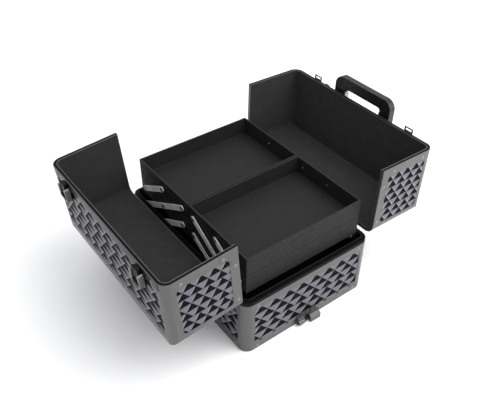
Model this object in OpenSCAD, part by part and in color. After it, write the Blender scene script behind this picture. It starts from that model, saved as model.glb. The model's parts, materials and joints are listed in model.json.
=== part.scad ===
// Makeup train case: a box base, two lid halves that swing out to the sides, and two stacks of
// cantilever trays that swing out over the ends. Millimetres, +Z up, +X towards the lid with the handle.
// The origin is the centre of the underside. The model is drawn open, with the trays stowed.

/* [Case] */
// Width across both lids
body_w = 250; // [246:1:262]
// Length along the hinge lines
body_l = 332; // [328:1:350]
// Height of the base to its rim
base_h = 108; // [104:1:112]
// Height of a lid above the rim
lid_h = 115; // [110:1:130]
// Outside radius of the rounded corners
corner_r = 16; // [13:1:17]
// Width of the metal trim on each face, measured from the corner
trim_w = 17; // [17:1:20]

/* [Opening] */
// Angle at which the left lid stands
left_open = 94.5; // [90:0.5:100]
// Angle at which the right lid stands
right_open = 91.5; // [90:0.5:100]

/* [Trays] */
// Tray size across the case
tray_w = 220; // [216:1:220]
// Tray size along the case
tray_l = 148; // [140:1:150]
// Tray height
tray_h = 33; // [30:1:33]
// Height of the top edge of the upper trays
tray_top = 180.5; // [180:0.5:190]
// Rise from one pivot level to the next
pivot_rise = 34; // [34:0.5:35]
// Distance between pivots along the case
pivot_run = 59; // [50:1:60]
// Width of an arm
arm_w = 10; // [8:0.5:11]

/* [Handle] */
// Overall width of the handle
handle_w = 130; // [120:1:140]
// Reach from the handle pivot to the outside of the grip
handle_reach = 56; // [50:1:60]
// Thickness of the grip
grip_t = 12; // [10:0.5:13]

/* [Hidden] */

$fn = 48;
eps = 0.01;

// Wall build-up, counted inwards from the outside: metal trim, board, fabric lining
trim_t = 1.2;
board_in = 4.8;
lining_in = 6;
lip_out = 6.4;
lip_in = 7.6;

// Base levels
bottom_trim_h = 12;
top_trim_h = 17;
seal_h = 6;
web_z = base_h - seal_h - trim_t;
lip_rise = 2.5;
rim_gap = 0.3;

// Lids
half_w = body_w / 2;
mouth_w = 14;
rim_w = 13;
edge_w = 14;
mouth_cap = 1.2;
mouth_gap = 0.4;
lid_depth = half_w - mouth_gap;
board_end = lid_depth - mouth_cap;
mouth_in = 6.2;
mouth_seal_out = 1.4;
mouth_seal_in = 5;
mouth_seal_t = 0.8;

// Hinges
hinge_off = 2.8;
hinge_x = half_w + hinge_off;
knuckle_r = 2.4;
hinge_pin_r = 1.2;
knuckle_l = 20;
knuckle_n = 13;
leaf_t = 0.8;
leaf_w = 13;

// Pivots: y of the inner, middle and outer pivot, and z of the three levels
pivot_in = 16;
pivot_mid = pivot_in + pivot_run;
pivot_out = pivot_mid + pivot_run;
upper_z = tray_top - tray_h / 2;
lower_z = upper_z - pivot_rise;
base_z = lower_z - pivot_rise;
arm_angle = atan2(pivot_rise, pivot_run);
arm_len = norm([pivot_run, pivot_rise]);
arm_t = 1.5;
arm_x = tray_w / 2 + 1.4;
fit_gap = 0.05;
rivet_r = 2;
shoulder_r = 4;
head_r = 3.6;
tray_wall = 2.5;
tray_inner_y = 1;

// Latches, placed by their middle along the case; lid distances run from the outer face to the mouth
latch_y = 109;
latch_w = 26;
latch_v = 92;
latch_l = 24;
latch_h = 10;
latch_base_t = 2.2;
claw_off = -1.5;
claw_w = 15;
claw_pin_v = 104;
claw_pin_u = 5.5;
claw_tip_v = 123;
claw_pin_r = 1.2;
hook_w = 10;
tongue_w = 17;
tongue_reach = 7;
tongue_t = 1.4;
tongue_u = 0.35;
tongue_end = 2;
tongue_slot = 3.8;
guide_off = 24;

// Handle
handle_v = 98;
handle_u = 9;
handle_pin_r = 2.5;
leg_w = 22;
bar_w = 19.5;
grip_r = 17;
grip_inner_r = 6;
ear_t = 2.2;
side_arm_t = 3;
bracket_plate_t = 1.5;
pin_head_t = 1.2;
pin_head_r = 4;

// Keepers for stacking the case on another one
keeper_pin_r = 2.2;
keeper_pin_z = 7;
keeper_pin_y = 6;

// Colours
trim_grey = "#77736f";
panel_grey = "#5b5a66";
black = "#1c1c1c";
lining_black = "#2c2c2c";
steel = "#b5b5b5";

// ---- Shared shapes ----

module rounded_outline(w, l, r) {
    square([w - 2 * r, l], center = true);
    square([w, l - 2 * r], center = true);
    for (x = [-1, 1], y = [-1, 1])
        translate([x * (w / 2 - r), y * (l / 2 - r)])
            circle(r);
}

// Base volume, set in by a distance on every side wall
module base_block(inset, z0, z1) {
    translate([0, 0, z0])
        linear_extrude(z1 - z0)
            rounded_outline(body_w - 2 * inset, body_l - 2 * inset, corner_r - inset);
}

module base_wall(outer, inner, z0, z1) {
    difference() {
        base_block(outer, z0, z1);
        base_block(inner, z0 - 1, z1 + 1);
    }
}

// Outline that is rounded at its high-Y corners only, from -w/2 to w/2 and from y0 to y1
module top_rounded(w, y0, y1, r) {
    translate([-w / 2, y0])
        square([w, y1 - y0 - r]);
    translate([-w / 2 + r, y0])
        square([w - 2 * r, y1 - y0]);
    for (x = [-1, 1])
        translate([x * (w / 2 - r), y1 - r])
            circle(r);
}

// Lid volume in its own frame: X from the outer face to the mouth, Z up from the rim
module lid_block(inset, over) {
    r = corner_r - inset;
    w = body_l - 2 * inset;
    intersection() {
        translate([0, 0, -over])
            linear_extrude(lid_h + 2 * over)
                rotate(90)
                    top_rounded(w, -lid_depth - over, -inset, r);
        translate([-over, 0, 0])
            rotate([90, 0, 90])
                linear_extrude(lid_depth + 2 * over)
                    top_rounded(w, -over, lid_h - inset, r);
    }
}

module lid_shell(outer, inner) {
    difference() {
        lid_block(outer, 0);
        lid_block(inner, 5);
    }
}

// Places lid-frame geometry on the open left or right lid
module on_left_lid() {
    translate([-hinge_x, 0, base_h])
        rotate([0, -left_open, 0])
            translate([hinge_off, 0, 0])
                children();
}

module on_right_lid() {
    mirror([1, 0, 0])
        translate([-hinge_x, 0, base_h])
            rotate([0, -right_open, 0])
                translate([hinge_off, 0, 0])
                    children();
}

module block(x0, x1, y0, y1, z0, z1) {
    translate([x0, y0, z0])
        cube([x1 - x0, y1 - y0, z1 - z0]);
}

// Low dome, as on a set rivet, standing on the XY plane
module dome(r, h) {
    ball = (r * r + h * h) / (2 * h);
    intersection() {
        translate([0, 0, h - ball])
            sphere(ball);
        cylinder(r = r, h = h);
    }
}

module trim_rivet() {
    dome(3, 1.2);
}

module both_ends() {
    for (s = [0, 1])
        mirror([0, s, 0])
            children();
}

module both_sides() {
    for (s = [0, 1])
        mirror([s, 0, 0])
            children();
}

module rod_x(x0, x1, r) {
    translate([x0, 0, 0])
        rotate([0, 90, 0])
            cylinder(r = r, h = x1 - x0);
}

module rod_y(y0, y1, r) {
    translate([0, y1, 0])
        rotate([90, 0, 0])
            cylinder(r = r, h = y1 - y0);
}

// ---- Base ----

module base_wall_panels() {
    color(panel_grey) {
        both_ends()
            block(-half_w + corner_r, half_w - corner_r, body_l / 2 - board_in, body_l / 2 - trim_t,
                board_in, web_z);
        both_sides()
            block(half_w - board_in, half_w - trim_t, -body_l / 2 + corner_r, body_l / 2 - corner_r,
                board_in, web_z);
    }
}

module base_floor() {
    color(black)
        base_block(trim_t, trim_t, board_in);
}

module base_corner_post() {
    reach = 40;
    intersection() {
        base_wall(trim_t, board_in, board_in, web_z);
        block(half_w - corner_r, half_w + 1, body_l / 2 - corner_r, body_l / 2 + 1, 0, base_h);
    }
    intersection() {
        base_wall(0, trim_t, bottom_trim_h, base_h - top_trim_h);
        union() {
            block(half_w - corner_r, half_w + 1, body_l / 2 - corner_r, body_l / 2 + 1, 0, base_h);
            block(half_w - trim_w, half_w - corner_r, body_l / 2 - reach, body_l / 2 + 1, 0, base_h);
            block(half_w - reach, half_w + 1, body_l / 2 - trim_w, body_l / 2 - corner_r, 0, base_h);
        }
        block(half_w - trim_w, half_w + 1, body_l / 2 - trim_w, body_l / 2 + 1, 0, base_h);
    }
}

module base_corner_posts() {
    color(trim_grey)
        both_sides()
            both_ends()
                base_corner_post();
}

module base_top_frame() {
    color(trim_grey) {
        base_wall(0, trim_t, base_h - top_trim_h, web_z);
        base_wall(0, lip_in, web_z, web_z + trim_t);
        base_wall(lip_out, lip_in, web_z, base_h + lip_rise);
    }
}

module base_bottom_frame() {
    color(trim_grey) {
        base_wall(0, trim_t, 0, bottom_trim_h);
        base_wall(trim_t - eps, 10, 0, trim_t);
    }
}

module base_rim_seal() {
    color(black)
        base_wall(0.4, lining_in - 0.2, base_h - seal_h, base_h - rim_gap);
}

module base_lining() {
    color(lining_black)
        difference() {
            base_block(board_in, board_in, web_z);
            base_block(lining_in, lining_in, base_h);
        }
}

// Rivet heads on the trims of one end wall and one side wall
module base_frame_rivets() {
    top_z = base_h - top_trim_h + 5;
    low_z = 7;
    in_from_corner = 24;
    color(steel)
        both_sides()
            both_ends()
                for (z = [low_z, top_z]) {
                    translate([half_w - in_from_corner, body_l / 2, z])
                        rotate([-90, 0, 0])
                            trim_rivet();
                    translate([half_w, body_l / 2 - in_from_corner, z])
                        rotate([0, 90, 0])
                            trim_rivet();
                }
}

module base_pivot_rivet() {
    rod_x(arm_x + arm_t + fit_gap, half_w - lining_in, shoulder_r);
    rod_x(arm_x - fit_gap - eps, arm_x + arm_t + fit_gap + eps, rivet_r);
    rod_x(arm_x - fit_gap - 1, arm_x - fit_gap, head_r);
}

module base_pivot_rivets() {
    color(steel)
        both_sides()
            both_ends()
                for (y = [pivot_mid, pivot_out])
                    translate([0, y, base_z])
                        base_pivot_rivet();
}

// ---- Hinges ----

// Knuckles along the hinge line: the base has the even ones and the lid the odd ones
module knuckles(first) {
    gap = 0.3;
    for (i = [first:2:knuckle_n - 1]) {
        y0 = (i - knuckle_n / 2) * knuckle_l + gap / 2;
        y1 = y0 + knuckle_l - gap;
        difference() {
            union() {
                rod_y(y0, y1, knuckle_r);
                block(0, hinge_off, y0, y1, -knuckle_r, -knuckle_r + 1);
            }
            rod_y(y0 - 1, y1 + 1, hinge_pin_r + fit_gap);
        }
    }
}

module leaf_plate(z0, z1) {
    block(hinge_off - leaf_t, hinge_off, -knuckle_n * knuckle_l / 2, knuckle_n * knuckle_l / 2, z0, z1);
}

module hinge_base_leaves() {
    color(steel)
        both_sides()
            translate([-hinge_x, 0, base_h]) {
                knuckles(0);
                leaf_plate(-leaf_w, -knuckle_r + 1);
            }
}

module hinge_pins() {
    pin_l = knuckle_n * knuckle_l + 2;
    color(steel)
        both_sides()
            translate([-hinge_x, 0, base_h])
                rod_y(-pin_l / 2, pin_l / 2, hinge_pin_r);
}

module lid_hinge_leaf() {
    color(steel)
        translate([-hinge_off, 0, 0])
            mirror([0, 0, 1]) {
                knuckles(1);
                leaf_plate(-leaf_w, -knuckle_r + 1);
            }
}

module left_lid_hinge_leaf() {
    on_left_lid()
        lid_hinge_leaf();
}

module right_lid_hinge_leaf() {
    on_right_lid()
        lid_hinge_leaf();
}

// ---- Lids, drawn in the lid's own frame ----

module lid_top_panel() {
    color(panel_grey)
        block(trim_t, board_end, -body_l / 2 + corner_r, body_l / 2 - corner_r,
            lid_h - board_in, lid_h - trim_t);
}

module lid_side_panel() {
    color(panel_grey)
        block(trim_t, board_in, -body_l / 2 + corner_r, body_l / 2 - corner_r,
            trim_t, lid_h - board_in);
}

module lid_end_panels() {
    color(panel_grey)
        both_ends()
            block(corner_r, board_end, body_l / 2 - board_in, body_l / 2 - trim_t,
                trim_t, lid_h - corner_r);
}

// Trim strip round the edge that meets the base, with a web that caps the boards
module lid_rim_frame() {
    color(trim_grey) {
        intersection() {
            lid_shell(0, trim_t);
            block(-1, half_w - mouth_w, -body_l, body_l, 0, rim_w);
        }
        intersection() {
            lid_shell(0, lining_in);
            block(-1, half_w - mouth_w, -body_l, body_l, 0, trim_t);
        }
        intersection() {
            lid_shell(trim_t, lining_in);
            block(half_w - mouth_w - eps, board_end, -body_l, body_l, 0, trim_t);
        }
    }
}

// Channel round the edge that meets the other lid
module lid_mouth_frame() {
    color(trim_grey)
        difference() {
            union() {
                intersection() {
                    lid_shell(0, trim_t);
                    block(half_w - mouth_w, lid_depth, -body_l, body_l, 0, lid_h);
                }
                intersection() {
                    lid_shell(0, mouth_in);
                    block(board_end, lid_depth, -body_l, body_l, 0, lid_h);
                }
            }
            intersection() {
                lid_shell(mouth_seal_out, mouth_seal_in);
                block(lid_depth - mouth_seal_t, lid_depth + 1, -body_l, body_l, -1, lid_h);
            }
        }
}

module lid_mouth_seal() {
    color(black)
        intersection() {
            lid_shell(mouth_seal_out, mouth_seal_in);
            block(lid_depth - mouth_seal_t, lid_depth, -body_l, body_l, 0, lid_h);
        }
}

// One corner piece: a rounded post up the outer corner that turns and runs along the top corner
module lid_corner_trim() {
    y_in = body_l / 2 - corner_r;
    y_strip = body_l / 2 - trim_w;
    y_max = body_l / 2 + 1;
    intersection() {
        lid_shell(trim_t, board_in);
        union() {
            block(-1, corner_r, y_in, y_max, trim_t, lid_h);
            block(-1, board_end, y_in, y_max, lid_h - corner_r, lid_h);
        }
    }
    intersection() {
        lid_shell(0, trim_t);
        union() {
            block(-1, trim_w, y_strip, y_max, rim_w, lid_h);
            block(-1, half_w - mouth_w, y_strip, y_max, lid_h - trim_w, lid_h);
        }
    }
}

module lid_corner_trims() {
    color(trim_grey) {
        both_ends()
            lid_corner_trim();
        intersection() {
            lid_shell(0, trim_t);
            block(-1, edge_w, -body_l / 2 + trim_w, body_l / 2 - trim_w, lid_h - edge_w, lid_h);
        }
    }
}

module lid_lining() {
    color(lining_black)
        intersection() {
            lid_shell(board_in, lining_in);
            block(-1, board_end, -body_l, body_l, trim_t, lid_h);
        }
}

module lid_rivets() {
    color(steel)
        both_ends() {
            for (v = [24, 93])
                translate([v, body_l / 2, rim_w / 2])
                    rotate([-90, 0, 0])
                        trim_rivet();
            for (u = [24, lid_h - 26])
                translate([half_w - mouth_w / 2 - 2, body_l / 2, u])
                    rotate([-90, 0, 0])
                        trim_rivet();
            for (v = [edge_w / 2, half_w - mouth_w / 2], y = [26, 140])
                translate([v, body_l / 2 - y, lid_h])
                    trim_rivet();
        }
}

module left_lid_top_panel() {
    on_left_lid()
        lid_top_panel();
}

module left_lid_side_panel() {
    on_left_lid()
        lid_side_panel();
}

module left_lid_end_panels() {
    on_left_lid()
        lid_end_panels();
}

module left_lid_rim_frame() {
    on_left_lid()
        lid_rim_frame();
}

module left_lid_mouth_frame() {
    on_left_lid()
        lid_mouth_frame();
}

module left_lid_mouth_seal() {
    on_left_lid()
        lid_mouth_seal();
}

module left_lid_corner_trims() {
    on_left_lid()
        lid_corner_trims();
}

module left_lid_lining() {
    on_left_lid()
        lid_lining();
}

module left_lid_rivets() {
    on_left_lid()
        lid_rivets();
}

module right_lid_top_panel() {
    on_right_lid()
        lid_top_panel();
}

module right_lid_side_panel() {
    on_right_lid()
        lid_side_panel();
}

module right_lid_end_panels() {
    on_right_lid()
        lid_end_panels();
}

module right_lid_rim_frame() {
    on_right_lid()
        lid_rim_frame();
}

module right_lid_mouth_frame() {
    on_right_lid()
        lid_mouth_frame();
}

module right_lid_mouth_seal() {
    on_right_lid()
        lid_mouth_seal();
}

module right_lid_corner_trims() {
    on_right_lid()
        lid_corner_trims();
}

module right_lid_lining() {
    on_right_lid()
        lid_lining();
}

module right_lid_rivets() {
    on_right_lid()
        lid_rivets();
}

// ---- Latches on the left lid ----

// Latch frame: X from the far end towards the mouth, Y along the lid, Z out of the lid
module place_latch(s) {
    on_left_lid()
        translate([latch_v, s * latch_y, lid_h])
            children();
}

module latch_outline() {
    translate([latch_l / 2, 0])
        rounded_outline(latch_l, latch_w, 3);
}

module latch_bases() {
    color(black)
        for (s = [-1, 1])
            place_latch(s)
                linear_extrude(latch_base_t)
                    latch_outline();
}

// Cover with a channel for the claw, open at the mouth and on the outside
module latch_housing() {
    half = claw_w / 2 + 0.5;
    difference() {
        translate([0, 0, latch_base_t])
            linear_extrude(latch_h - latch_base_t)
                latch_outline();
        block(3, latch_l + 1, claw_off - half, claw_off + half, 0, latch_h + 1);
        translate([claw_pin_v - latch_v, 0, claw_pin_u])
            rod_y(-latch_w, latch_w, claw_pin_r + 0.02);
    }
}

module latch_housings() {
    color(trim_grey)
        for (s = [-1, 1])
            place_latch(s)
                latch_housing();
}

module latch_pins() {
    color(steel)
        for (s = [-1, 1])
            place_latch(s)
                translate([claw_pin_v - latch_v, 0, claw_pin_u])
                    rod_y(-latch_w / 2, latch_w / 2, claw_pin_r);
}

// Leaf spring under the tail of the claw
module latch_springs() {
    color(steel)
        for (s = [-1, 1])
            place_latch(s)
                translate([3.4, claw_off - 3, latch_base_t]) {
                    cube([5.6, 6, 0.4]);
                    translate([0, 0, 0.2])
                        rotate([0, -14, 0])
                            cube([3.4, 6, 0.4]);
                }
}

// Rocking claw with a ribbed thumb pad at its tail and a hook at its tip
module latch_claw(s) {
    pin_x = claw_pin_v - latch_v;
    tip_x = claw_tip_v - latch_v;
    side = (claw_w - hook_w) / 2;
    color(black)
        place_latch(s)
            translate([0, claw_off - claw_w / 2, 0])
                difference() {
                    union() {
                        block(4, tip_x, 0, claw_w, claw_pin_u - 1.2, claw_pin_u + 2.4);
                        translate([pin_x, 0, claw_pin_u])
                            rod_y(0, claw_w, 3.2);
                        block(4, 10, 0, claw_w, claw_pin_u - 1.2, latch_h + 0.2);
                        for (x = [4, 6.2, 8.4])
                            block(x, x + 1.2, 0, claw_w, claw_pin_u, latch_h + 0.8);
                        block(tip_x - 2.4, tip_x, side, side + hook_w, 0.9, claw_pin_u);
                    }
                    translate([pin_x, 0, claw_pin_u])
                        rod_y(-1, claw_w + 1, claw_pin_r + fit_gap);
                }
}

module latch_claw_front() {
    latch_claw(-1);
}

module latch_claw_back() {
    latch_claw(1);
}

// Slotted tongues opposite the claws, with a guide block beside the back one
module strike_plates() {
    base_v = half_w - 24;
    tip_v = half_w + tongue_reach;
    color(trim_grey)
        on_right_lid() {
            for (s = [-1, 1])
                translate([0, s * latch_y + claw_off, lid_h])
                    strike_plate(base_v, tip_v);
            translate([half_w - 8, latch_y - guide_off, lid_h])
                linear_extrude(4)
                    rounded_outline(14, 12, 3);
        }
}

module strike_plate(base_v, tip_v) {
    slot_w = hook_w + 2.4;
    difference() {
        union() {
            block(base_v, half_w - 8, -tongue_w / 2, tongue_w / 2, 0, tongue_u);
            block(base_v, tip_v, -tongue_w / 2, tongue_w / 2, tongue_u - eps, tongue_u + tongue_t);
        }
        block(tip_v - tongue_end - tongue_slot, tip_v - tongue_end, -slot_w / 2, slot_w / 2, -1, 3);
    }
    for (v = [base_v + 4, base_v + 11])
        translate([v, 0, tongue_u + tongue_t - eps])
            dome(2, 1);
}

// ---- Handle on the right lid ----

// Handle frame: X from the pivot towards the grip, Y along the lid, Z out of the lid, origin on the pivot
module on_handle() {
    on_right_lid()
        translate([handle_v, 0, lid_h + handle_u])
            children();
}

module handle_brackets() {
    plate_y = handle_w / 2 - leg_w / 2;
    color(trim_grey)
        on_handle()
            both_ends() {
                block(-13, 13, plate_y - 17, plate_y + 17, -handle_u, -handle_u + bracket_plate_t);
                for (y = [handle_w / 2 - leg_w - side_arm_t - ear_t - 0.4, handle_w / 2 + 0.4])
                    difference() {
                        union() {
                            block(-7, 7, y, y + ear_t, -handle_u + bracket_plate_t - eps, 0);
                            rod_y(y, y + ear_t, 7);
                        }
                        rod_y(y - 1, y + ear_t + 1, handle_pin_r + 0.02);
                    }
            }
}

module handle_pins() {
    y0 = handle_w / 2 - leg_w - side_arm_t - ear_t - 0.4;
    y1 = handle_w / 2 + 0.4 + ear_t;
    color(steel)
        on_handle()
            both_ends() {
                rod_y(y0 - pin_head_t, y1 + pin_head_t, handle_pin_r);
                rod_y(y0 - pin_head_t, y0, pin_head_r);
                rod_y(y1, y1 + pin_head_t, pin_head_r);
            }
}

module handle_grip() {
    reach_in = handle_reach - bar_w;
    inner_w = handle_w - 2 * leg_w;
    color(black)
        on_handle()
            difference() {
                union() {
                    translate([0, 0, -grip_t / 2])
                        linear_extrude(grip_t)
                            difference() {
                                rotate(-90)
                                    top_rounded(handle_w, 0, handle_reach, grip_r);
                                rotate(-90)
                                    top_rounded(inner_w, -1, reach_in, grip_inner_r);
                            }
                    both_ends()
                        rod_y(inner_w / 2, handle_w / 2, grip_t / 2);
                }
                rod_y(-handle_w, handle_w, handle_pin_r + fit_gap);
            }
}

// Flat steel arms on the inner faces of the legs
module handle_side_arms() {
    y1 = handle_w / 2 - leg_w;
    half = 4.5;
    arm_end = handle_reach - bar_w - grip_inner_r - half;
    color(steel)
        on_handle()
            both_ends()
                difference() {
                    union() {
                        block(0, arm_end, y1 - side_arm_t, y1, -half, half);
                        rod_y(y1 - side_arm_t, y1, half);
                        translate([arm_end, 0, 0])
                            rod_y(y1 - side_arm_t, y1, half);
                    }
                    rod_y(-handle_w, handle_w, handle_pin_r + fit_gap);
                }
}

// ---- Keepers ----

module stack_keeper() {
    translate([0, -body_l / 2, 0]) {
        block(6, 24, -2, 0, 7, 20);
        block(-23, -11, -6, 0, 1.5, 17);
        block(-12, 0, -2, 0, 1.5, 17);
        difference() {
            block(-1, 19, -12, 0, 0.5, 14);
            translate([0, -12, 14])
                rotate([45, 0, 0])
                    cube([60, 7, 7], center = true);
        }
        translate([0, -keeper_pin_y, keeper_pin_z])
            rod_x(-23, -11, keeper_pin_r + 1.8);
    }
}

module keeper_bore() {
    translate([0, -body_l / 2 - keeper_pin_y, keeper_pin_z])
        rod_x(-24, 12, keeper_pin_r + 0.02);
}

module stack_keepers() {
    color(trim_grey)
        for (a = [0, 180])
            rotate(a)
                difference() {
                    stack_keeper();
                    keeper_bore();
                }
}

module stack_keeper_pins() {
    color(black)
        for (a = [0, 180])
            rotate(a)
                translate([0, -body_l / 2 - keeper_pin_y, keeper_pin_z])
                    rod_x(-23.6, 12, keeper_pin_r);
}

// ---- Cantilever trays, drawn for the back stack; the front stack is its mirror image ----

// Flat bar in the YZ plane from the origin, with one hole at each multiple of arm_len
module arm_bar(spans) {
    length = spans * arm_len;
    difference() {
        union() {
            block(arm_x, arm_x + arm_t, 0, length, -arm_w / 2, arm_w / 2);
            for (y = [0, length])
                translate([0, y, 0])
                    rod_x(arm_x, arm_x + arm_t, arm_w / 2);
        }
        for (i = [0:spans])
            translate([0, i * arm_len, 0])
                rod_x(arm_x - 1, arm_x + arm_t + 1, rivet_r + fit_gap);
    }
}

// Both bars of a pair, running inwards and up from a lower pivot
module arm_pair(y, z, spans) {
    color(steel)
        both_sides()
            translate([0, y, z])
                rotate([180 - arm_angle, 0, 0])
                    mirror([0, 0, 1])
                        arm_bar(spans);
}

module tray(bottom) {
    color(black)
        difference() {
            block(-tray_w / 2, tray_w / 2, tray_inner_y, tray_inner_y + tray_l, bottom, bottom + tray_h);
            block(-tray_w / 2 + tray_wall, tray_w / 2 - tray_wall, tray_inner_y + tray_wall,
                tray_inner_y + tray_l - tray_wall, bottom + tray_wall, bottom + tray_h + 1);
            for (y = tray_pivots(bottom))
                translate([0, y, bottom + tray_h / 2])
                    rod_x(-tray_w, tray_w, rivet_r + 0.02);
        }
}

upper_bottom = tray_top - tray_h;
lower_bottom = upper_bottom - pivot_rise;

// An upper tray hangs on its inner and middle pivots, a lower one also holds the outer pivot
function tray_pivots(bottom) =
    bottom == upper_bottom ? [pivot_in, pivot_mid] : [pivot_in, pivot_mid, pivot_out];

module tray_rivet() {
    inner = tray_w / 2 - tray_wall;
    rod_x(inner - 0.8, inner, 3);
    rod_x(inner - eps, arm_x + arm_t + fit_gap + eps, rivet_r);
    rod_x(tray_w / 2, arm_x - fit_gap, shoulder_r);
    rod_x(arm_x + arm_t + fit_gap, arm_x + arm_t + fit_gap + 1.2, head_r);
}

module tray_rivets(bottom) {
    color("#a8795c")
        both_sides()
            for (y = tray_pivots(bottom))
                translate([0, y, bottom + tray_h / 2])
                    tray_rivet();
}

module to_front() {
    mirror([0, 1, 0])
        children();
}

module back_long_arms() {
    arm_pair(pivot_out, base_z, 2);
}

module back_lower_links() {
    arm_pair(pivot_mid, base_z, 1);
}

module back_upper_links() {
    arm_pair(pivot_out, lower_z, 1);
}

module back_lower_tray() {
    tray(lower_bottom);
}

module back_upper_tray() {
    tray(upper_bottom);
}

module back_lower_tray_rivets() {
    tray_rivets(lower_bottom);
}

module back_upper_tray_rivets() {
    tray_rivets(upper_bottom);
}

module front_long_arms() {
    to_front()
        back_long_arms();
}

module front_lower_links() {
    to_front()
        back_lower_links();
}

module front_upper_links() {
    to_front()
        back_upper_links();
}

module front_lower_tray() {
    to_front()
        back_lower_tray();
}

module front_upper_tray() {
    to_front()
        back_upper_tray();
}

module front_lower_tray_rivets() {
    to_front()
        back_lower_tray_rivets();
}

module front_upper_tray_rivets() {
    to_front()
        back_upper_tray_rivets();
}

base_wall_panels();
base_floor();
base_corner_posts();
base_top_frame();
base_bottom_frame();
base_rim_seal();
base_lining();
base_frame_rivets();
base_pivot_rivets();
hinge_base_leaves();
hinge_pins();
stack_keepers();
stack_keeper_pins();
left_lid_top_panel();
left_lid_side_panel();
left_lid_end_panels();
left_lid_rim_frame();
left_lid_mouth_frame();
left_lid_mouth_seal();
left_lid_corner_trims();
left_lid_lining();
left_lid_rivets();
left_lid_hinge_leaf();
right_lid_top_panel();
right_lid_side_panel();
right_lid_end_panels();
right_lid_rim_frame();
right_lid_mouth_frame();
right_lid_mouth_seal();
right_lid_corner_trims();
right_lid_lining();
right_lid_rivets();
right_lid_hinge_leaf();
latch_bases();
latch_housings();
latch_pins();
latch_springs();
latch_claw_front();
latch_claw_back();
strike_plates();
handle_brackets();
handle_pins();
handle_grip();
handle_side_arms();
front_long_arms();
front_lower_links();
front_upper_links();
front_lower_tray();
front_upper_tray();
front_lower_tray_rivets();
front_upper_tray_rivets();
back_long_arms();
back_lower_links();
back_upper_links();
back_lower_tray();
back_upper_tray();
back_lower_tray_rivets();
back_upper_tray_rivets();
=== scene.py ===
"""Looks for the makeup train case.

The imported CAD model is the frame. This script gives every CAD node its material and softened
edges. It adds the embossed panel facings with their bezels, and the connector plates on the lid
ends. Lengths are in metres, in the frame of the CAD model.
"""

import json
import math

import bmesh
import bpy
from mathutils import Matrix, Vector


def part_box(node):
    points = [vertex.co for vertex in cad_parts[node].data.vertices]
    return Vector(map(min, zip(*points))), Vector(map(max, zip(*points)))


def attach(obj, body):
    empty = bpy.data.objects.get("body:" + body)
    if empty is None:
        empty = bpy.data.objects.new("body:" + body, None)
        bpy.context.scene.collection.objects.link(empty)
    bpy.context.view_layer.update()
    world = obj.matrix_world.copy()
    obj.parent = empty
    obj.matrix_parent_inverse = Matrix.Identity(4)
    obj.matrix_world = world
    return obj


MM = 0.001

# Trim: widths of its strips and its thickness, as in the CAD, and how far above the foot of the
# base's top frame the black lip starts
TRIM_WIDTH = 17 * MM
TRIM_THICKNESS = 1.2 * MM
MOUTH_STRIP = 14 * MM
TOP_EDGE_STRIP = 14 * MM
RIM_STRIP = 13 * MM
LIP_START = 11.5 * MM

# Embossed facings: height of the relief, lift of the sheet off the board, its thickness and how
# far it runs under the bezel; width of the bezel and the radii of its corners, outside and at
# the window
RELIEF = 0.75 * MM
SHEET_LIFT = 0.15 * MM
SHEET_DEPTH = 0.7 * SHEET_LIFT
SHEET_UNDERLAP = 0.2 * MM
BEZEL_WIDTH = 1.6 * MM
BEZEL_OUTER_RADIUS = 0.3 * MM
WINDOW_RADIUS = 7 * MM
BEZEL_SHARP_ANGLE = math.radians(50)

# Pattern: one row in three is shifted, and the peak of a pale triangle lies this share of the way
# across from the next apex and down to the foot
ROW_REPEAT = 3
PEAK_ACROSS = 0.24
PEAK_DOWN = 0.40

# Pattern: width of one triangle, and rows in a window, for each kind of panel
END_PITCH = 20 * MM
END_ROWS = 7
BASE_PITCH = 26.8 * MM
BASE_ROWS = 5.4
SIDE_ROWS = 5.9
TOP_PITCH = 27.5 * MM
TOP_ROWS = 6.5

# Connector plates at the corners of the lid ends
PLATE_RAISE = 0.35 * MM
PLATE_SUNK = 0.2 * MM
PLATE_REACH = 30 * MM
PLATE_GAP = 0.8 * MM
PLATE_FILLET = 4 * MM
PLATE_EDGE = 0.2 * MM

# Camera: where it looks, from where, and its lens
CAMERA_TARGET = Vector((0.023, 0.039, 0.100))
CAMERA_AZIMUTH = math.radians(-36.8)
CAMERA_ELEVATION = math.radians(39.15)
CAMERA_DISTANCE = 1.103
CAMERA_ROLL = math.radians(0.2)
LENS = 47.1
SENSOR = 36.0

# Surrounding light: direction it is brightest from, its strength there and opposite, and the
# strength that the camera sees
WORLD_BRIGHT_SIDE = Vector((0.50, -0.36, 0.79))
WORLD_BRIGHT = 1.35
WORLD_DARK = 0.05
WORLD_SEEN = 1.1

# Soft lamps: name, azimuth and elevation in degrees, distance, size and power in watts
LAMPS = (
    ("key", 30, 60, 1.6, 1.3, 19),
    ("front", 38, 22, 1.25, 0.8, 4.2),
)
FLOOR_HALF = 6

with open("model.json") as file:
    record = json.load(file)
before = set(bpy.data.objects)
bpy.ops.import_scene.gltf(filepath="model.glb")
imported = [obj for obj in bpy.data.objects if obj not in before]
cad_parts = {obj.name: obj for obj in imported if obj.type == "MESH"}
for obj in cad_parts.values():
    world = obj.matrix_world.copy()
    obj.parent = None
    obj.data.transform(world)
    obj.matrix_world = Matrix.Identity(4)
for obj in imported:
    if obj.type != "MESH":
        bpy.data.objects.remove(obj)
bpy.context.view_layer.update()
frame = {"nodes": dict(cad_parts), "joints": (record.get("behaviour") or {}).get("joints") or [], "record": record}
nodes = frame["nodes"]
joints = {joint["name"]: joint for joint in frame["joints"]}


# ---------------------------------------------------------------- materials


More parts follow.
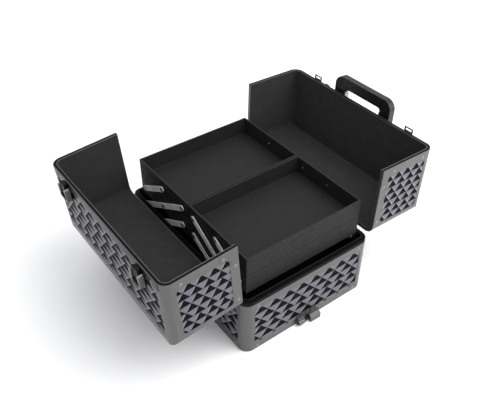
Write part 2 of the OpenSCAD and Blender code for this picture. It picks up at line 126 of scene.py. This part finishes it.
class Surface:
    """A Principled material and short ways to add to it. Coordinates are the object's own, in metres."""

    def __init__(self, name, colour, roughness, metallic=0.0, specular=0.5):
        self.material = bpy.data.materials.new(name)
        self.material.use_nodes = True
        self.tree = self.material.node_tree
        self.shader = self.tree.nodes["Principled BSDF"]
        self.coordinates = self.tree.nodes.new("ShaderNodeTexCoord").outputs["Object"]
        self.colour = tuple(colour) + (1.0,)
        self.normal = None
        self.set("Base Color", self.colour)
        self.set("Roughness", roughness)
        self.set("Metallic", metallic)
        self.set("Specular IOR Level", specular)
        self.roughness = roughness
        self.material.diffuse_color = self.colour

    def set(self, socket, value):
        self.shader.inputs[socket].default_value = value

    def node(self, kind, **inputs):
        made = self.tree.nodes.new(kind)
        for name, value in inputs.items():
            socket = made.inputs[name.replace("_", " ")]
            if isinstance(value, bpy.types.NodeSocket):
                self.tree.links.new(value, socket)
            else:
                socket.default_value = value
        return made

    def stretched(self, scale):
        mapping = self.node("ShaderNodeMapping", Vector=self.coordinates)
        mapping.inputs["Scale"].default_value = scale
        return mapping.outputs["Vector"]

    def noise(self, scale, detail=2.0, stretch=None):
        vector = self.stretched(stretch) if stretch else self.coordinates
        return self.node("ShaderNodeTexNoise", Vector=vector, Scale=scale, Detail=detail).outputs["Fac"]

    def cells(self, scale):
        return self.node("ShaderNodeTexVoronoi", Vector=self.coordinates, Scale=scale).outputs["Distance"]

    def spread(self, value, low, high, start=0.3, stop=0.7):
        mapped = self.node("ShaderNodeMapRange", Value=value)
        settings = (start, stop, low, high)
        for name, number in zip(("From Min", "From Max", "To Min", "To Max"), settings):
            mapped.inputs[name].default_value = number
        return mapped.outputs["Result"]

    def vary_roughness(self, value, amount):
        result = self.spread(value, self.roughness - amount, self.roughness + amount)
        self.tree.links.new(result, self.shader.inputs["Roughness"])
        return self

    def vary_colour(self, value, darkest, lightest):
        shades = self.node("ShaderNodeMix")
        shades.data_type = "RGBA"
        self.tree.links.new(self.spread(value, 0.0, 1.0), shades.inputs[0])
        for socket, gain in ((6, darkest), (7, lightest)):
            shades.inputs[socket].default_value = tuple(c * gain for c in self.colour[:3]) + (1.0,)
        self.tree.links.new(shades.outputs[2], self.shader.inputs["Base Color"])
        return self

    def bump(self, value, depth, strength=1.0):
        """Depth is the height of the relief in metres."""
        made = self.node("ShaderNodeBump", Height=value, Strength=strength, Distance=depth)
        if self.normal:
            self.tree.links.new(self.normal, made.inputs["Normal"])
        self.normal = made.outputs["Normal"]
        self.tree.links.new(self.normal, self.shader.inputs["Normal"])
        return self

    def painted_edge_highlight(self, radius, highlight_gain):
        """Paints a highlight: lightens the colour where the surface turns within a small radius, where edges catch
        the light.
        """
        rounded = self.node("ShaderNodeBevel", Radius=radius)
        geometry = self.node("ShaderNodeNewGeometry")
        turn = self.node("ShaderNodeVectorMath")
        turn.operation = "DOT_PRODUCT"
        self.tree.links.new(rounded.outputs["Normal"], turn.inputs[0])
        self.tree.links.new(geometry.outputs["Normal"], turn.inputs[1])
        edge_highlight_mask = self.spread(turn.outputs["Value"], 1.0, 0.0, 0.80, 0.99)
        mix = self.node("ShaderNodeMix")
        mix.data_type = "RGBA"
        self.tree.links.new(edge_highlight_mask, mix.inputs[0])
        source = self.shader.inputs["Base Color"]
        if source.is_linked:
            self.tree.links.new(source.links[0].from_socket, mix.inputs[6])
        else:
            mix.inputs[6].default_value = self.colour
        mix.inputs[7].default_value = tuple(min(1.0, c * highlight_gain) for c in self.colour[:3]) + (1.0,)
        self.tree.links.new(mix.outputs[2], source)
        return self


def gunmetal(name="trim_gunmetal", shade=1.0, metallic=0.68, specular=0.5):
    colour = (0.104 * shade, 0.1015 * shade, 0.099 * shade)
    surface = Surface(name, colour, 0.33, metallic=metallic, specular=specular)
    grain = surface.noise(1300, 3)
    surface.vary_colour(grain, 0.86, 1.14)
    surface.vary_roughness(surface.noise(160, 3), 0.06)
    # Tight edges get a painted highlight.
    return surface.bump(grain, 0.00004).painted_edge_highlight(0.0006, 1.7)


def laminate(name, colour, roughness=0.42, specular=0.3):
    surface = Surface(name, colour, roughness, specular=specular)
    surface.vary_colour(surface.noise(700, 4), 0.85, 1.15)
    surface.vary_roughness(surface.noise(300, 2), 0.06)
    return surface.bump(surface.noise(1800, 2), 0.00003)


def flock(name, colour):
    surface = Surface(name, colour, 0.95, specular=0.08)
    surface.set("Sheen Weight", 0.08)
    surface.set("Sheen Roughness", 0.5)
    surface.vary_colour(surface.noise(60, 5), 0.88, 1.12)
    surface.bump(surface.noise(2600, 3), 0.00025)
    return surface.bump(surface.cells(1500), 0.00010)


def tray_plastic():
    surface = Surface("tray_black", (0.0135, 0.0135, 0.0137), 0.6, specular=0.16)
    surface.vary_colour(surface.noise(40, 4), 0.93, 1.07)
    surface.vary_roughness(surface.noise(150, 3), 0.08)
    surface.bump(surface.cells(1100), 0.00006)
    # Tight edges, the rims too, get a painted highlight.
    return surface.painted_edge_highlight(0.0007, 5.0)


# edges: how many times lighter the colour is painted on tight edges, a painted highlight
def black_plastic(name, roughness, grain_scale, grain_depth, edges, colour, specular):
    surface = Surface(name, colour, roughness, specular=specular)
    surface.vary_roughness(surface.noise(200, 3), 0.07)
    surface.bump(surface.cells(grain_scale), grain_depth)
    return surface.painted_edge_highlight(0.0006, edges)


def board():
    surface = Surface("board_black", (0.010, 0.010, 0.011), 0.6, specular=0.15)
    surface.vary_colour(surface.noise(90, 4), 0.85, 1.15)
    return surface.bump(surface.noise(1200, 2), 0.00005)


def bright_steel():
    surface = Surface("arm_steel", (0.74, 0.74, 0.735), 0.38, metallic=0.12)
    surface.vary_colour(surface.noise(90, 3), 0.88, 1.10)
    surface.vary_roughness(surface.noise(500, 2), 0.08)
    return surface.bump(surface.noise(1500, 3, stretch=(1.0, 0.12, 0.12)), 0.00003)


def plated(name, colour, roughness, metallic=0.7):
    surface = Surface(name, colour, roughness, metallic=metallic)
    surface.vary_colour(surface.noise(180, 3), 0.88, 1.1)
    surface.vary_roughness(surface.noise(400, 3), 0.08)
    return surface.bump(surface.noise(2400, 2), 0.00002)


def die_cast(name, shade):
    surface = Surface(name, (shade, shade * 0.98, shade * 0.95), 0.34, metallic=0.6)
    surface.vary_colour(surface.noise(900, 3), 0.88, 1.12)
    surface.vary_roughness(surface.noise(300, 3), 0.06)
    # Tight edges get a painted highlight.
    return surface.bump(surface.noise(1600, 2), 0.00003).painted_edge_highlight(0.0005, 1.7)


def floor_paper():
    surface = Surface("floor_paper", (0.95, 0.95, 0.95), 0.8, specular=0.1)
    return surface.bump(surface.noise(400, 2), 0.00005)


MATERIALS = {
    "trim": gunmetal(),
    "plate": gunmetal("plate_gunmetal", 0.92),
    # A darker copy of the gunmetal for the mouth frames' faces along X: painted shade.
    "mouth": gunmetal("mouth_gunmetal_painted_shade", 0.34, 0.2, 0.10),
    "light": laminate("facing_light", (0.112, 0.109, 0.133)),
    # A lighter copy of the pale colour for the facet that faces the light: a painted highlight.
    "painted_highlight": laminate("facing_painted_highlight", (0.215, 0.208, 0.246)),
    "dark": laminate("facing_dark", (0.0040, 0.0040, 0.0038), 0.6, 0.03),
    "board": board(),
    "seal": black_plastic("edging_black", 0.55, 1300, 0.00004, 1.5, (0.0025, 0.0025, 0.0028), 0.08),
    "lining": flock("lining_flock", (0.026, 0.0255, 0.025)),
    # A darker copy of the lining for the base's interior: painted shade.
    "lining_shaded": flock("lining_painted_shade", (0.004, 0.004, 0.004)),
    "tray": tray_plastic(),
    "arm": bright_steel(),
    "nickel": plated("nickel", (0.30, 0.295, 0.29), 0.36),
    "rivet": plated("rivet_nickel", (0.20, 0.197, 0.193), 0.30),
    "arm_rivet": plated("rivet_steel", (0.16, 0.155, 0.15), 0.34),
    "copper": plated("rivet_copper", (0.40, 0.25, 0.20), 0.22, 1.0),
    "lip": black_plastic("lip_black", 0.4, 1300, 0.00003, 9.0, (0.0045, 0.0045, 0.0045), 0.2),
    "latch": die_cast("latch_metal", 0.16),
    "keeper": die_cast("keeper_metal", 0.085),
    "strike": plated("strike_dark", (0.045, 0.044, 0.043), 0.34),
    "claw": black_plastic("claw_black", 0.42, 900, 0.00003, 2.0, (0.004, 0.004, 0.0045), 0.12),
    "handle": black_plastic("handle_black", 0.32, 1000, 0.00005, 6.0, (0.0045, 0.0045, 0.0048), 0.4),
    "floor": floor_paper(),
}

SLOT_MATERIAL = {
    "trim": "trim",
    "panel": "board",
    "black_edge": "seal",
    "floor": "board",
    "lining": "lining",
    "tray": "tray",
    "arm_steel": "arm",
    "hardware": "nickel",
    "rivet": "rivet",
    "tray_rivet": "copper",
    "latch_metal": "latch",
    "latch_black": "claw",
    "handle_black": "handle",
}

# Width of the softened edges of the CAD nodes, by material
EDGE_WIDTH = {
    "handle_black": 2.2 * MM,
    "tray": 0.5 * MM,
    "latch_metal": 0.6 * MM,
    "latch_black": 0.35 * MM,
}
PLAIN_EDGE_WIDTH = 0.25 * MM

# Softening: vertices this near are joined, faces that turn less than the first angle become one,
# and edges that turn more than the second are rounded
WELD_DISTANCE = 0.01 * MM
FLAT_ANGLE = math.radians(0.5)
EDGE_ANGLE = math.radians(35)


def paint(piece, *keys):
    piece.data.materials.clear()
    for key in keys:
        piece.data.materials.append(MATERIALS[key].material)


def soften(piece, width):
    """Joins a CAD mesh's split vertices, clears the lines on its flat faces and rounds its edges."""
    weld = piece.modifiers.new("weld", "WELD")
    weld.merge_threshold = WELD_DISTANCE
    flatten = piece.modifiers.new("flat_faces", "DECIMATE")
    flatten.decimate_type = "DISSOLVE"
    flatten.angle_limit = FLAT_ANGLE
    flatten.delimit = {"MATERIAL"}
    bevel = piece.modifiers.new("soft_edges", "BEVEL")
    bevel.width = width
    bevel.segments = 3
    bevel.limit_method = "ANGLE"
    bevel.angle_limit = EDGE_ANGLE
    bevel.use_clamp_overlap = True
    even = piece.modifiers.new("even_shading", "WEIGHTED_NORMAL")
    even.keep_sharp = True
    even.weight = 100


def repaint(piece, key, chosen):
    """Gives the faces that pass a test a second material."""
    piece.data.materials.append(MATERIALS[key].material)
    for polygon in piece.data.polygons:
        if chosen(polygon):
            polygon.material_index = len(piece.data.materials) - 1


def dress_cad_nodes():
    for part in frame["record"]["subparts"]:
        piece = nodes[part["node"]]
        slot = part["material_slot"]
        paint(piece, SLOT_MATERIAL[slot])
        soften(piece, EDGE_WIDTH.get(slot, PLAIN_EDGE_WIDTH))
        piece.data.shade_smooth()
    repaint(nodes["base_top_frame"], "lip", lambda face: face.center.z > TOP_STRIP_Z + LIP_START)
    # The base lining gets the darker lining, a painted shade for its deep interior.
    paint(nodes["base_lining"], "lining_shaded")
    paint(nodes["strike_plates"], "strike")
    paint(nodes["stack_keepers"], "keeper")
    # Mouth-frame faces that point along X get the darker gunmetal, a painted shade.
    for name in ("left_lid_mouth_frame", "right_lid_mouth_frame"):
        repaint(nodes[name], "mouth", lambda face: abs(face.normal.x) > 0.9)
    arm_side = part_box("back_long_arms")[1].x
    for name in ("front_lower", "front_upper", "back_lower", "back_upper"):
        rivets = nodes[name + "_tray_rivets"]
        repaint(rivets, "arm_rivet", lambda face: abs(face.center.x) > arm_side)


# ---------------------------------------------------------------- placing on the case

base_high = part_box("base_bottom_frame")[1]
HALF_W = base_high.x
HALF_L = base_high.y
BOTTOM_STRIP = base_high.z
TOP_STRIP_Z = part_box("base_top_frame")[0].z


def lid_matrix(name):
    """Maps lid coordinates to the case: X from the side wall to the mouth, Z up from the rim."""
    hinge = joints[name + "_hinge"]
    hinge_x, _, rim_z = hinge["pos_m"]
    side = math.copysign(1.0, hinge_x)
    angle = -math.radians(hinge["range_deg"][0])
    offset = abs(hinge_x) - HALF_W
    turn = Matrix(((math.cos(angle), 0, -math.sin(angle), 0), (0, 1, 0, 0),
                   (math.sin(angle), 0, math.cos(angle), 0), (0, 0, 0, 1)))
    mirror = Matrix.Diagonal((-side, 1, 1, 1))
    place = Matrix.Translation((hinge_x, 0, rim_z))
    return place @ mirror @ turn @ Matrix.Translation((offset, 0, 0))


def plane(origin, across, up):
    """Matrix whose X runs across a panel, Y up it and Z out of it."""
    out = Vector(across).cross(Vector(up))
    columns = [Vector(across), Vector(up), out, Vector(origin)]
    matrix = Matrix.Identity(4)
    for i, column in enumerate(columns):
        for j in range(3):
            matrix[j][i] = column[j]
    return matrix


def add_piece(name, mesh, body, keys):
    for key in keys:
        mesh.materials.append(MATERIALS[key].material)
    piece = bpy.data.objects.new(name, mesh)
    bpy.context.scene.collection.objects.link(piece)
    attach(piece, body)
    return piece


def finish_mesh(name, bm, matrix):
    bm.transform(matrix)
    if matrix.determinant() < 0:
        bmesh.ops.reverse_faces(bm, faces=bm.faces)
    mesh = bpy.data.meshes.new(name)
    bm.to_mesh(mesh)
    bm.free()
    return mesh


# ---------------------------------------------------------------- embossed facings


def rounded_loop(x0, x1, y0, y1, radius, steps=6):
    """Points of a rounded rectangle, anticlockwise from its lower right corner."""
    corners = ((x1 - radius, y0 + radius, -90), (x1 - radius, y1 - radius, 0),
               (x0 + radius, y1 - radius, 90), (x0 + radius, y0 + radius, 180))
    points = []
    for cx, cy, start in corners:
        for i in range(steps + 1):
            angle = math.radians(start + 90 * i / steps)
            points.append((cx + radius * math.cos(angle), cy + radius * math.sin(angle)))
    return points


def clip_to_loop(bm, points):
    """Cuts away what lies outside a convex outline drawn in the XY plane."""
    centre = Vector((sum(p[0] for p in points), sum(p[1] for p in points), 0)) / len(points)
    for (ax, ay), (bx, by) in zip(points, points[1:] + points[:1]):
        edge = Vector((bx - ax, by - ay, 0))
        if edge.length < 1e-6:
            continue
        normal = Vector((edge.y, -edge.x, 0)).normalized()
        if normal.dot(Vector((ax, ay, 0)) - centre) < 0:
            normal = -normal
        everything = bm.verts[:] + bm.edges[:] + bm.faces[:]
        bmesh.ops.bisect_plane(
            bm, geom=everything, plane_co=(ax, ay, 0), plane_no=normal, clear_outer=True)


LIGHT, PAINTED_HIGHLIGHT, DARK = range(3)


def emboss_row(bm, x0, x1, top, bottom, pitch, shift):
    """One row of dark triangles pointing up, with raised light ones pointing down between them."""
    first = x0 + shift - 2 * pitch
    count = math.ceil((x1 - first) / pitch) + 1
    for i in range(count):
        left = first + i * pitch
        foot_left = Vector((left, bottom, 0))
        foot_right = Vector((left + pitch, bottom, 0))
        apex = Vector((left + pitch / 2, top, 0))
        next_apex = Vector((left + pitch * 1.5, top, 0))
        peak = apex.lerp(next_apex, 1 - PEAK_ACROSS)
        peak = peak.lerp(foot_right, PEAK_DOWN) + Vector((0, 0, RELIEF))
        add_face(bm, (foot_left, foot_right, apex), DARK)
        add_face(bm, (apex, foot_right, peak), LIGHT)
        # This facet gets the lighter copy of the pale colour, a painted highlight.
        add_face(bm, (foot_right, next_apex, peak), PAINTED_HIGHLIGHT)
        add_face(bm, (next_apex, apex, peak), LIGHT)


def add_face(bm, points, material):
    face = bm.faces.new([bm.verts.new(p) for p in points])
    face.material_index = material


def embossed_sheet(window, pitch, rows, first_shifted, align):
    x0, x1, y0, y1 = window
    bm = bmesh.new()
    step = (y1 - y0) / rows
    for row in range(math.ceil(rows)):
        top = y1 - row * step if align == "top" else y0 + (math.ceil(rows) - row) * step
        shifted = row % ROW_REPEAT == first_shifted
        emboss_row(bm, x0, x1, top, top - step, pitch, pitch / 2 if shifted else 0.0)
    bmesh.ops.remove_doubles(bm, verts=bm.verts, dist=1e-6)
    inset = BEZEL_WIDTH - SHEET_UNDERLAP
    clip_to_loop(bm, rounded_loop(x0 + inset, x1 - inset, y0 + inset, y1 - inset, WINDOW_RADIUS))
    return bm


def thicken_sheet(bm, depth):
    """Closes the sheet with a wall round its edge and a flat back."""
    rim = [edge for edge in bm.edges if edge.is_boundary]
    made = bmesh.ops.extrude_edge_only(bm, edges=rim)["geom"]
    low = [v for v in made if isinstance(v, bmesh.types.BMVert)]
    for vertex in low:
        vertex.co.z = -depth
    back = [edge for edge in bm.edges if edge.is_boundary]
    bmesh.ops.contextual_create(bm, geom=back, mat_nr=DARK)
    bmesh.ops.recalc_face_normals(bm, faces=bm.faces)


def bezel_ring(window):
    """Flat ring round the window with a rounded inner edge."""
    x0, x1, y0, y1 = window
    foot = -TRIM_THICKNESS + SHEET_LIFT
    levels = (
        (0.0, foot, BEZEL_OUTER_RADIUS),
        (0.0, -0.1 * MM, BEZEL_OUTER_RADIUS),
        (0.1 * MM, 0.0, BEZEL_OUTER_RADIUS),
        (BEZEL_WIDTH - 0.5 * MM, 0.0, WINDOW_RADIUS),
        (BEZEL_WIDTH - 0.15 * MM, -0.15 * MM, WINDOW_RADIUS),
        (BEZEL_WIDTH, -0.5 * MM, WINDOW_RADIUS),
        (BEZEL_WIDTH, foot, WINDOW_RADIUS),
    )
    bm = bmesh.new()
    loops = []
    for inset, height, radius in levels:
        outline = rounded_loop(x0 + inset, x1 - inset, y0 + inset, y1 - inset, radius)
        loops.append([bm.verts.new((x, y, height)) for x, y in outline])
    for lower, upper in zip(loops, loops[1:] + loops[:1]):
        for i in range(len(lower)):
            j = (i + 1) % len(lower)
            bm.faces.new((lower[i], lower[j], upper[j], upper[i]))
    bmesh.ops.recalc_face_normals(bm, faces=bm.faces)
    return bm


def facing(name, body, matrix, window, pitch, rows, first_shifted=0, align="top"):
    """One embossed facing with its bezel. The matrix puts Z = 0 on the outside face of the trim."""
    sheet = embossed_sheet(window, pitch, rows, first_shifted, align)
    drop = TRIM_THICKNESS - SHEET_LIFT
    thicken_sheet(sheet, SHEET_DEPTH)
    bmesh.ops.translate(sheet, verts=sheet.verts, vec=(0, 0, -drop))
    mesh = finish_mesh(name, sheet, matrix)
    add_piece(name, mesh, body, ("light", "painted_highlight", "dark"))
    ring = finish_mesh(name + "_bezel", bezel_ring(window), matrix)
    piece = add_piece(name + "_bezel", ring, body, ("trim",))
    for polygon in piece.data.polygons:
        polygon.use_smooth = True
    piece.data.set_sharp_from_angle(angle=BEZEL_SHARP_ANGLE)


# ---------------------------------------------------------------- connector plates


def corner_plate(name, body, matrix, outline):
    """A thin plate over the joint of two trims, given by its outline on the face of the trim."""
    bm = bmesh.new()
    low = [bm.verts.new((x, y, -PLATE_SUNK)) for x, y in outline]
    bm.faces.new(low)
    top = bmesh.ops.extrude_face_region(bm, geom=bm.faces[:])["geom"]
    raised = [v for v in top if isinstance(v, bmesh.types.BMVert)]
    bmesh.ops.translate(bm, verts=raised, vec=(0, 0, PLATE_SUNK + PLATE_RAISE))
    bmesh.ops.recalc_face_normals(bm, faces=bm.faces)
    piece = add_piece(name, finish_mesh(name, bm, matrix), body, ("plate",))
    bevel = piece.modifiers.new("soft_edges", "BEVEL")
    bevel.width = PLATE_EDGE
    bevel.segments = 2
    bevel.limit_method = "ANGLE"


def elbow(corner, reach_x, reach_y, width_x, width_y):
    """Outline of an L-shaped plate. Its arms run from the corner by the two signed reaches."""
    x, y = corner
    sx, sy = math.copysign(1, reach_x), math.copysign(1, reach_y)
    return [
        (x + sx * PLATE_GAP, y + sy * PLATE_GAP),
        (x + reach_x, y + sy * PLATE_GAP),
        (x + reach_x, y + sy * width_y),
        (x + sx * (width_x + PLATE_FILLET), y + sy * width_y),
        (x + sx * width_x, y + sy * (width_y + PLATE_FILLET)),
        (x + sx * width_x, y + reach_y),
        (x + sx * PLATE_GAP, y + reach_y),
    ]


def base_facings():
    z0, z1 = BOTTOM_STRIP, TOP_STRIP_Z
    half_x, half_y = HALF_W - TRIM_WIDTH, HALF_L - TRIM_WIDTH
    for name, direction in (("front", -1), ("back", 1)):
        matrix = plane((0, direction * HALF_L, 0), (-direction, 0, 0), (0, 0, 1))
        window = (-half_x, half_x, z0, z1)
        facing("base_facing_" + name, "base", matrix, window, BASE_PITCH, BASE_ROWS, 1)
    for name, direction in (("left", -1), ("right", 1)):
        matrix = plane((direction * HALF_W, 0, 0), (0, direction, 0), (0, 0, 1))
        window = (-half_y, half_y, z0, z1)
        facing("base_facing_" + name, "base", matrix, window, BASE_PITCH, BASE_ROWS, 1)


def lid_facings(body):
    lid = lid_matrix(body)
    height = lid_height(body)
    v0, v1 = TRIM_WIDTH, HALF_W - MOUTH_STRIP
    y1 = HALF_L - TRIM_WIDTH
    top = lid @ plane((0, 0, height), (0, -1, 0), (1, 0, 0))
    facing(body + "_facing_top", body, top, (-y1, y1, TOP_EDGE_STRIP, v1), TOP_PITCH, TOP_ROWS)
    side = lid @ plane((0, 0, 0), (0, -1, 0), (0, 0, 1))
    window = (-y1, y1, RIM_STRIP, height - TOP_EDGE_STRIP)
    facing(body + "_facing_side", body, side, window, BASE_PITCH, SIDE_ROWS)
    for name, direction in (("front", -1), ("back", 1)):
        end = lid @ plane((0, direction * HALF_L, 0), (0, 0, direction), (1, 0, 0))
        u0, u1 = sorted((direction * RIM_STRIP, direction * (height - TRIM_WIDTH)))
        facing(body + "_facing_" + name, body, end, (u0, u1, v0, v1), END_PITCH, END_ROWS)
        widths = (RIM_STRIP - PLATE_GAP, MOUTH_STRIP - PLATE_GAP)
        mouth = elbow((0, HALF_W), direction * PLATE_REACH, -PLATE_REACH, *widths)
        corner_plate(body + "_mouth_plate_" + name, body, end, mouth)


def lid_height(body):
    """Height of a lid above its rim, from its corner trims."""
    inverse = lid_matrix(body).inverted()
    return max((inverse @ vertex.co).z for vertex in nodes[body + "_corner_trims"].data.vertices)


# ---------------------------------------------------------------- stage, lights and camera


def add_floor():
    bm = bmesh.new()
    bmesh.ops.create_grid(bm, x_segments=2, y_segments=2, size=FLOOR_HALF)
    floor = bpy.data.objects.new("floor", finish_mesh("floor", bm, Matrix.Identity(4)))
    floor.data.materials.append(MATERIALS["floor"].material)
    bpy.context.scene.collection.objects.link(floor)


def add_area_light(name, azimuth, elevation, distance, size, power):
    """A square soft light aimed at the case. Azimuth 0 is in front of it and 90 on its right."""
    a, e = math.radians(azimuth), math.radians(elevation)
    direction = Vector((math.sin(a) * math.cos(e), -math.cos(a) * math.cos(e), math.sin(e)))
    data = bpy.data.lights.new(name, "AREA")
    data.size = size
    data.energy = power
    light = bpy.data.objects.new(name, data)
    light.location = CAMERA_TARGET + direction * distance
    light.rotation_mode = "QUATERNION"
    light.rotation_quaternion = (-direction).to_track_quat("-Z", "Y")
    bpy.context.scene.collection.objects.link(light)


def add_world():
    """Soft surrounding light, brighter from above and from the front right."""
    world = bpy.data.worlds.new("studio")
    world.use_nodes = True
    tree = world.node_tree
    background = tree.nodes["Background"]
    background.inputs["Color"].default_value = (0.98, 0.985, 1.0, 1.0)
    direction = tree.nodes.new("ShaderNodeTexCoord").outputs["Generated"]
    toward = tree.nodes.new("ShaderNodeVectorMath")
    toward.operation = "DOT_PRODUCT"
    toward.inputs[1].default_value = WORLD_BRIGHT_SIDE
    tree.links.new(direction, toward.inputs[0])
    strength = tree.nodes.new("ShaderNodeMapRange")
    strength.inputs["From Min"].default_value = -1.0
    strength.inputs["To Min"].default_value = WORLD_DARK
    strength.inputs["To Max"].default_value = WORLD_BRIGHT
    tree.links.new(toward.outputs["Value"], strength.inputs["Value"])
    seen = tree.nodes.new("ShaderNodeMix")
    seen.data_type = "FLOAT"
    tree.links.new(tree.nodes.new("ShaderNodeLightPath").outputs["Is Camera Ray"], seen.inputs[0])
    tree.links.new(strength.outputs["Result"], seen.inputs[2])
    seen.inputs[3].default_value = WORLD_SEEN
    tree.links.new(seen.outputs[0], background.inputs["Strength"])
    bpy.context.scene.world = world


def add_lights():
    add_world()
    for lamp in LAMPS:
        add_area_light(*lamp)


def add_camera():
    a, e = CAMERA_AZIMUTH, CAMERA_ELEVATION
    back = Vector((math.sin(a) * math.cos(e), -math.cos(a) * math.cos(e), math.sin(e)))
    data = bpy.data.cameras.new("camera")
    data.lens = LENS
    data.sensor_width = SENSOR
    camera = bpy.data.objects.new("camera", data)
    camera.location = CAMERA_TARGET + back * CAMERA_DISTANCE
    camera.rotation_mode = "QUATERNION"
    roll = Matrix.Rotation(CAMERA_ROLL, 3, "Z").to_quaternion()
    camera.rotation_quaternion = (-back).to_track_quat("-Z", "Y") @ roll
    bpy.context.scene.collection.objects.link(camera)
    bpy.context.scene.camera = camera


dress_cad_nodes()
base_facings()
lid_facings("left_lid")
lid_facings("right_lid")
add_floor()
add_lights()
add_camera()
bpy.context.scene.view_settings.view_transform = "Standard"
